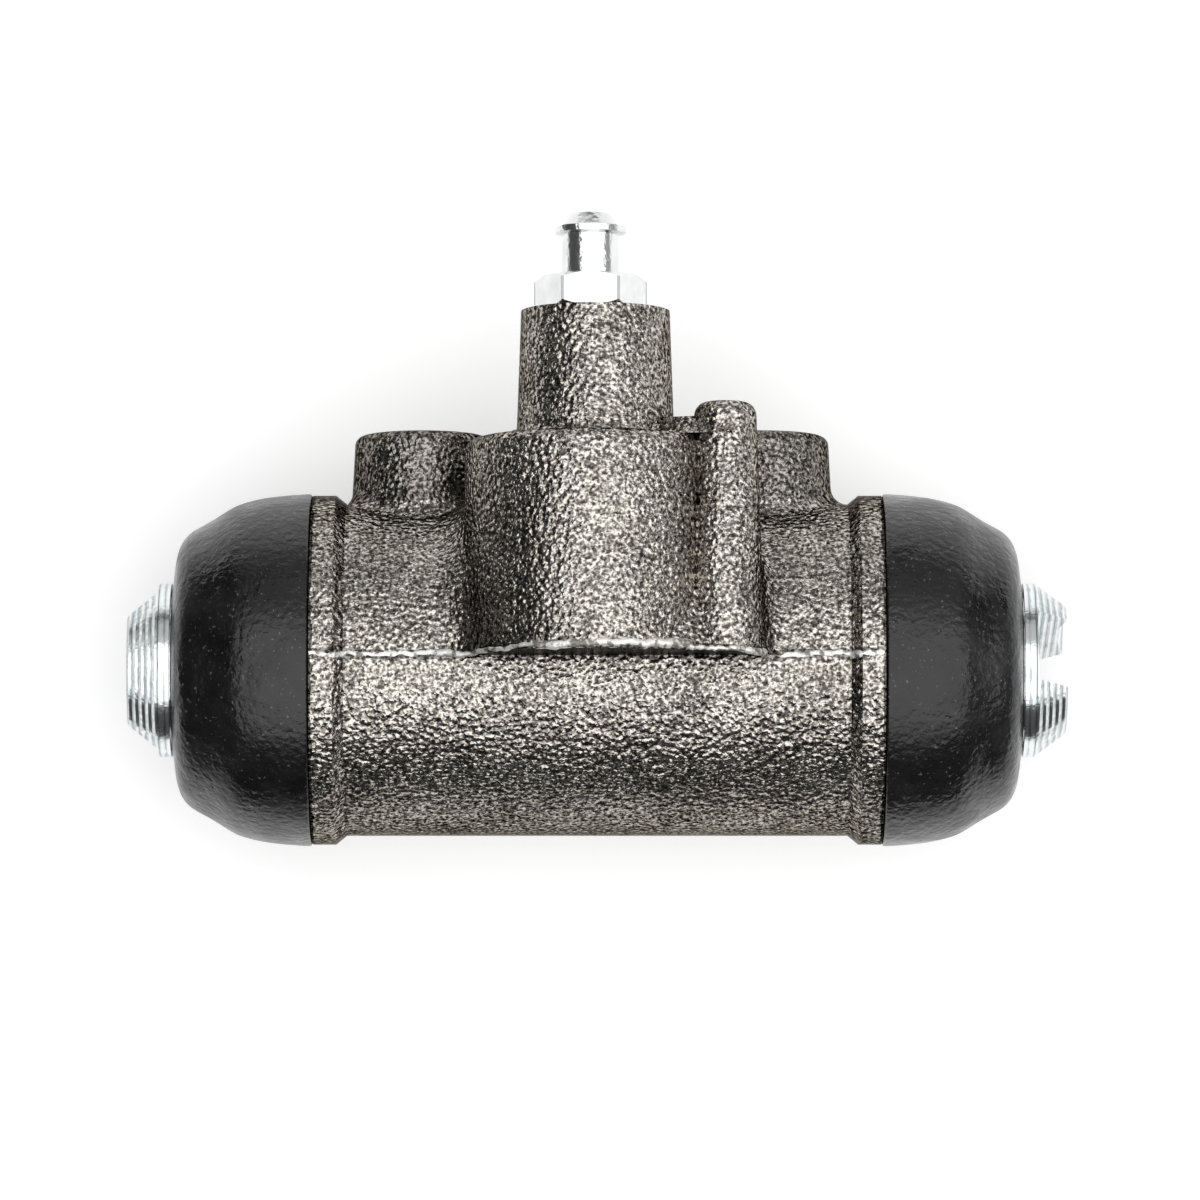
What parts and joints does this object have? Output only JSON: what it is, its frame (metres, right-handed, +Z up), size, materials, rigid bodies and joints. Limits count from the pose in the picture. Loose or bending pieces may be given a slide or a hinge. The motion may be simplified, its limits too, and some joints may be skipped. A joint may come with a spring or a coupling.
{
  "type": "drum brake wheel cylinder",
  "caption": "Cast iron brake wheel cylinder with opposed slotted pistons under rubber boots, threaded mounting bosses, an inlet port and a bleeder screw.",
  "frame": {"origin": "midway between the two bolt holes, on the mounting face", "axes": "+X along the bore, +Y out of the mounting face through the backing plate, +Z up on the vehicle, with the bleeder uppermost"},
  "size_m": [0.0775, 0.0512, 0.0356],
  "materials": {
    "cast_iron": "rough sand-cast, dark phosphate",
    "zinc_plated_steel": "bright zinc plate",
    "piston_alloy": "bright turned",
    "spring_steel": "drawn wire",
    "seal_rubber": "smooth moulded",
    "boot_rubber": "satin moulded"
  },
  "bodies": {
    "cylinder": {"cylinder_body": "cast_iron", "return_spring": "spring_steel", "left_boot": "boot_rubber", "right_boot": "boot_rubber"},
    "left_seal": {"left_seal": "seal_rubber"},
    "left_piston": {"left_piston": "piston_alloy"},
    "right_seal": {"right_seal": "seal_rubber"},
    "right_piston": {"right_piston": "piston_alloy"},
    "bleeder": {"bleeder_screw": "zinc_plated_steel"}
  },
  "joints": [
    {"name": "left_piston_slide", "type": "slide", "parent": "cylinder", "child": "left_seal", "axis": [-1, 0, 0], "range_m": [-0.003, 0.006], "deforming": ["left_boot", "return_spring"]},
    {"name": "left_piston_turn", "type": "hinge", "parent": "left_seal", "child": "left_piston", "pos_m": [0, -0.01944, 0], "axis": [-1, 0, 0], "continuous": true},
    {"name": "right_piston_slide", "type": "slide", "parent": "cylinder", "child": "right_seal", "axis": [1, 0, 0], "range_m": [-0.003, 0.006], "deforming": ["right_boot", "return_spring"]},
    {"name": "right_piston_turn", "type": "hinge", "parent": "right_seal", "child": "right_piston", "pos_m": [0, -0.01944, 0], "axis": [1, 0, 0], "continuous": true},
    {"name": "bleeder_turn", "type": "hinge", "parent": "cylinder", "child": "bleeder", "pos_m": [-0.0001, 0, 0.0107], "axis": [0, 1, 0], "range_deg": [0, 270]}
  ]
}
